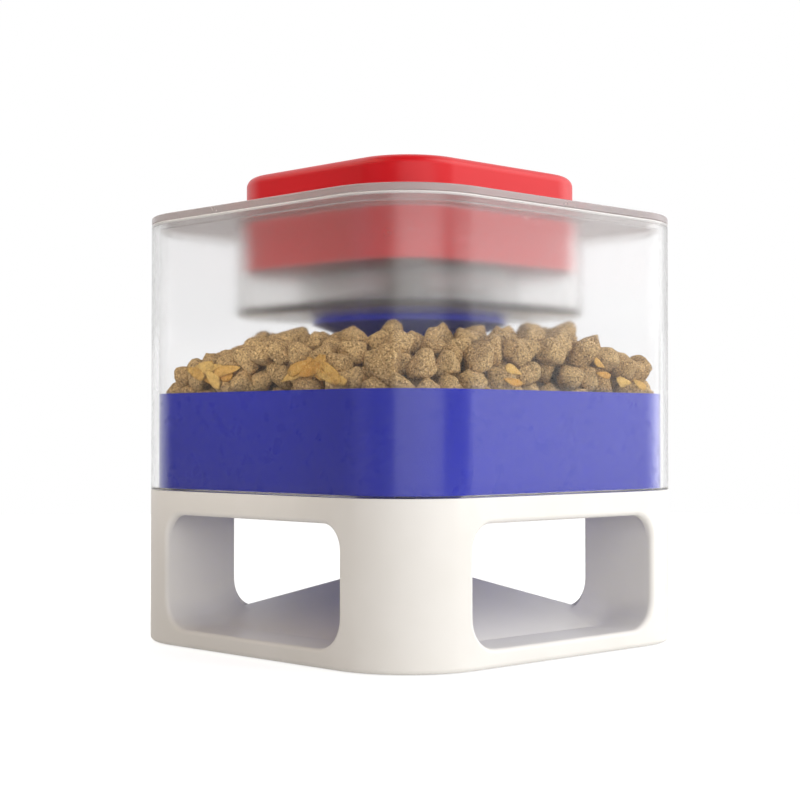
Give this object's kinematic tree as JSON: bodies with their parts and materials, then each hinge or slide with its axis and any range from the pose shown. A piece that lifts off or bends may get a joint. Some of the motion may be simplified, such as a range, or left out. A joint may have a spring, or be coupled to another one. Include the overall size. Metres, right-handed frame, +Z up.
{
  "type": "automatic pet feeder",
  "caption": "Square push-button pet feeder: frosted hopper of kibble over a blue tray, red button on the lid, white base with serving windows on all sides",
  "frame": {"origin": "middle of the footprint, on the floor under the rubber feet", "axes": "+Z up; the four equal sides face +X, -X, +Y and -Y"},
  "size_m": [0.174, 0.174, 0.193],
  "materials": {
    "base_white": "satin white moulding",
    "tray_blue": "glossy deep blue moulding",
    "hopper_clear": "frosted, nearly clear plastic",
    "lid_clear": "frosted, nearly clear plastic",
    "button_red": "glossy red moulding",
    "part_white": "plain white moulding",
    "steel": "bright screws",
    "spring_steel": "drawn wire",
    "foot_rubber": "matt grey rubber",
    "seal_rubber": "soft silicone",
    "kibble": "dry baked grain"
  },
  "bodies": {
    "housing": {"base_shell": "base_white", "serving_floor": "base_white", "bottom_plate": "base_white", "plate_screws": "steel", "rubber_feet": "foot_rubber", "tray_screws": "steel", "feed_tray": "tray_blue", "hopper_wall": "hopper_clear", "kibble_fill": "kibble", "plunger_spring": "spring_steel"},
    "lid": {"lid": "lid_clear", "button_spring": "spring_steel"},
    "button": {"button_cap": "button_red", "button_stem": "part_white", "stem_retainer": "part_white", "retainer_screw": "steel"},
    "plunger": {"plunger_head": "tray_blue", "push_rod": "part_white", "metering_cone": "tray_blue", "spacer_sleeve": "part_white", "gate_disc": "part_white", "gate_seal": "seal_rubber", "gate_screw": "steel"}
  },
  "joints": [
    {"name": "lid_lift", "type": "slide", "parent": "housing", "child": "lid", "axis": [0, 0, 1], "range_m": [0, 0.07]},
    {"name": "button_press", "type": "slide", "parent": "lid", "child": "button", "axis": [0, 0, -1], "range_m": [0, 0.013], "stiffness_N_per_m": 400, "springref_m": -0.012, "deforming": ["button_spring"]},
    {"name": "plunger_slide", "type": "slide", "parent": "housing", "child": "plunger", "axis": [0, 0, -1], "range_m": [0, 0.013], "stiffness_N_per_m": 150, "springref_m": -0.012, "deforming": ["plunger_spring"]}
  ],
  "couplings": [
    {"joint": "plunger_slide", "follows": "button_press", "ratio": 1}
  ]
}
